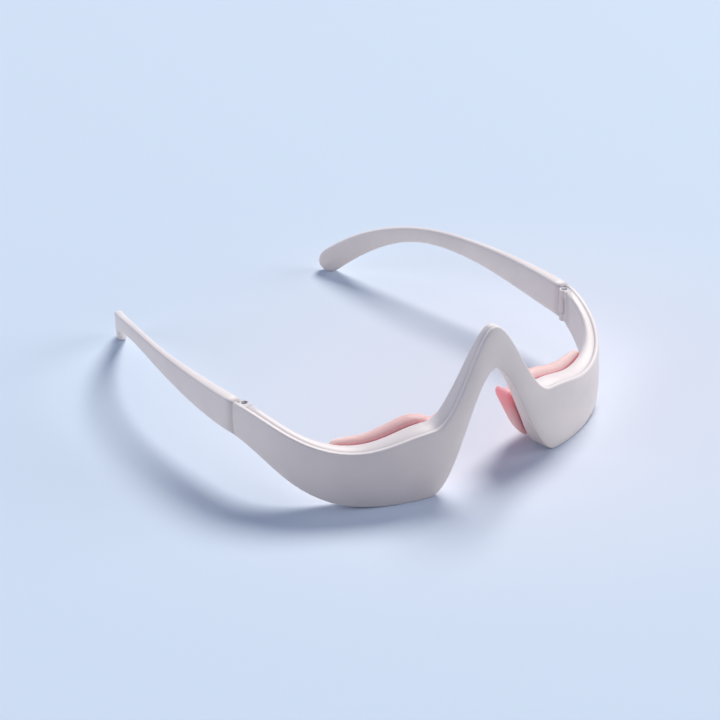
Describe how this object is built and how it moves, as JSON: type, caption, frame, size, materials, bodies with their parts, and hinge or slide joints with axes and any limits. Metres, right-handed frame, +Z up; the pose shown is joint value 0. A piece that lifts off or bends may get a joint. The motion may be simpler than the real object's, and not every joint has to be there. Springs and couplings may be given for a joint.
{
  "type": "red light therapy glasses",
  "caption": "Under-eye light therapy glasses: hollow band that dips below the eyes, silicone light pads behind it, and two folding arms.",
  "frame": {"origin": "centre of the overall box's bottom, so z = 0 is the surface that the lobes and the ear tips rest on", "axes": "+X across the face toward the wearer's left arm, the side of the power button; +Y from the nose toward the ear tips; +Z up"},
  "size_m": [0.1482, 0.173, 0.056],
  "materials": {
    "shell": "fine matte moulded plastic, warm white",
    "pad": "translucent pale pink silicone, matte",
    "window": "clear moulded plastic, faintly pink",
    "flex": "white coated flexible circuit",
    "led": "clear red resin",
    "cell": "laminated foil pouch",
    "board": "green solder mask with black chips",
    "steel": "plated steel",
    "switch": "switch on a small board",
    "ribbon": "amber film over copper",
    "hinge": "stiff moulded plastic in the shell's white",
    "pin": "dark blued steel"
  },
  "bodies": {
    "root": {"front_cover": "shell", "rear_housing": "shell", "left_pad": "pad", "right_pad": "pad", "left_light_window": "window", "right_light_window": "window", "left_led_board": "flex", "right_led_board": "flex", "left_leds": "led", "right_leds": "led", "battery": "cell", "control_board": "board", "charging_port": "steel", "button_switch": "switch", "bridge_cable": "ribbon", "cover_screws": "steel", "left_frame_hinge": "hinge", "right_frame_hinge": "hinge", "left_hinge_screw": "pin", "right_hinge_screw": "pin"},
    "left_arm": {"left_arm": "shell", "left_arm_hinge": "hinge"},
    "right_arm": {"right_arm": "shell", "right_arm_hinge": "hinge"},
    "power_button": {"power_button": "shell"}
  },
  "joints": [
    {"name": "left_arm_fold", "type": "hinge", "parent": "root", "child": "left_arm", "pos_m": [-0.06959, -0.03852, 0.0247], "axis": [0, 0, -1], "range_deg": [0, 78]},
    {"name": "right_arm_fold", "type": "hinge", "parent": "root", "child": "right_arm", "pos_m": [0.06959, -0.03852, 0.0247], "axis": [0, 0, 1], "range_deg": [0, 90]},
    {"name": "power_button_press", "type": "slide", "parent": "root", "child": "power_button", "axis": [-0.9012, 0.4334, 0], "range_m": [0, 0.0005], "stiffness_N_per_m": 2000, "springref_m": -0.0003}
  ]
}
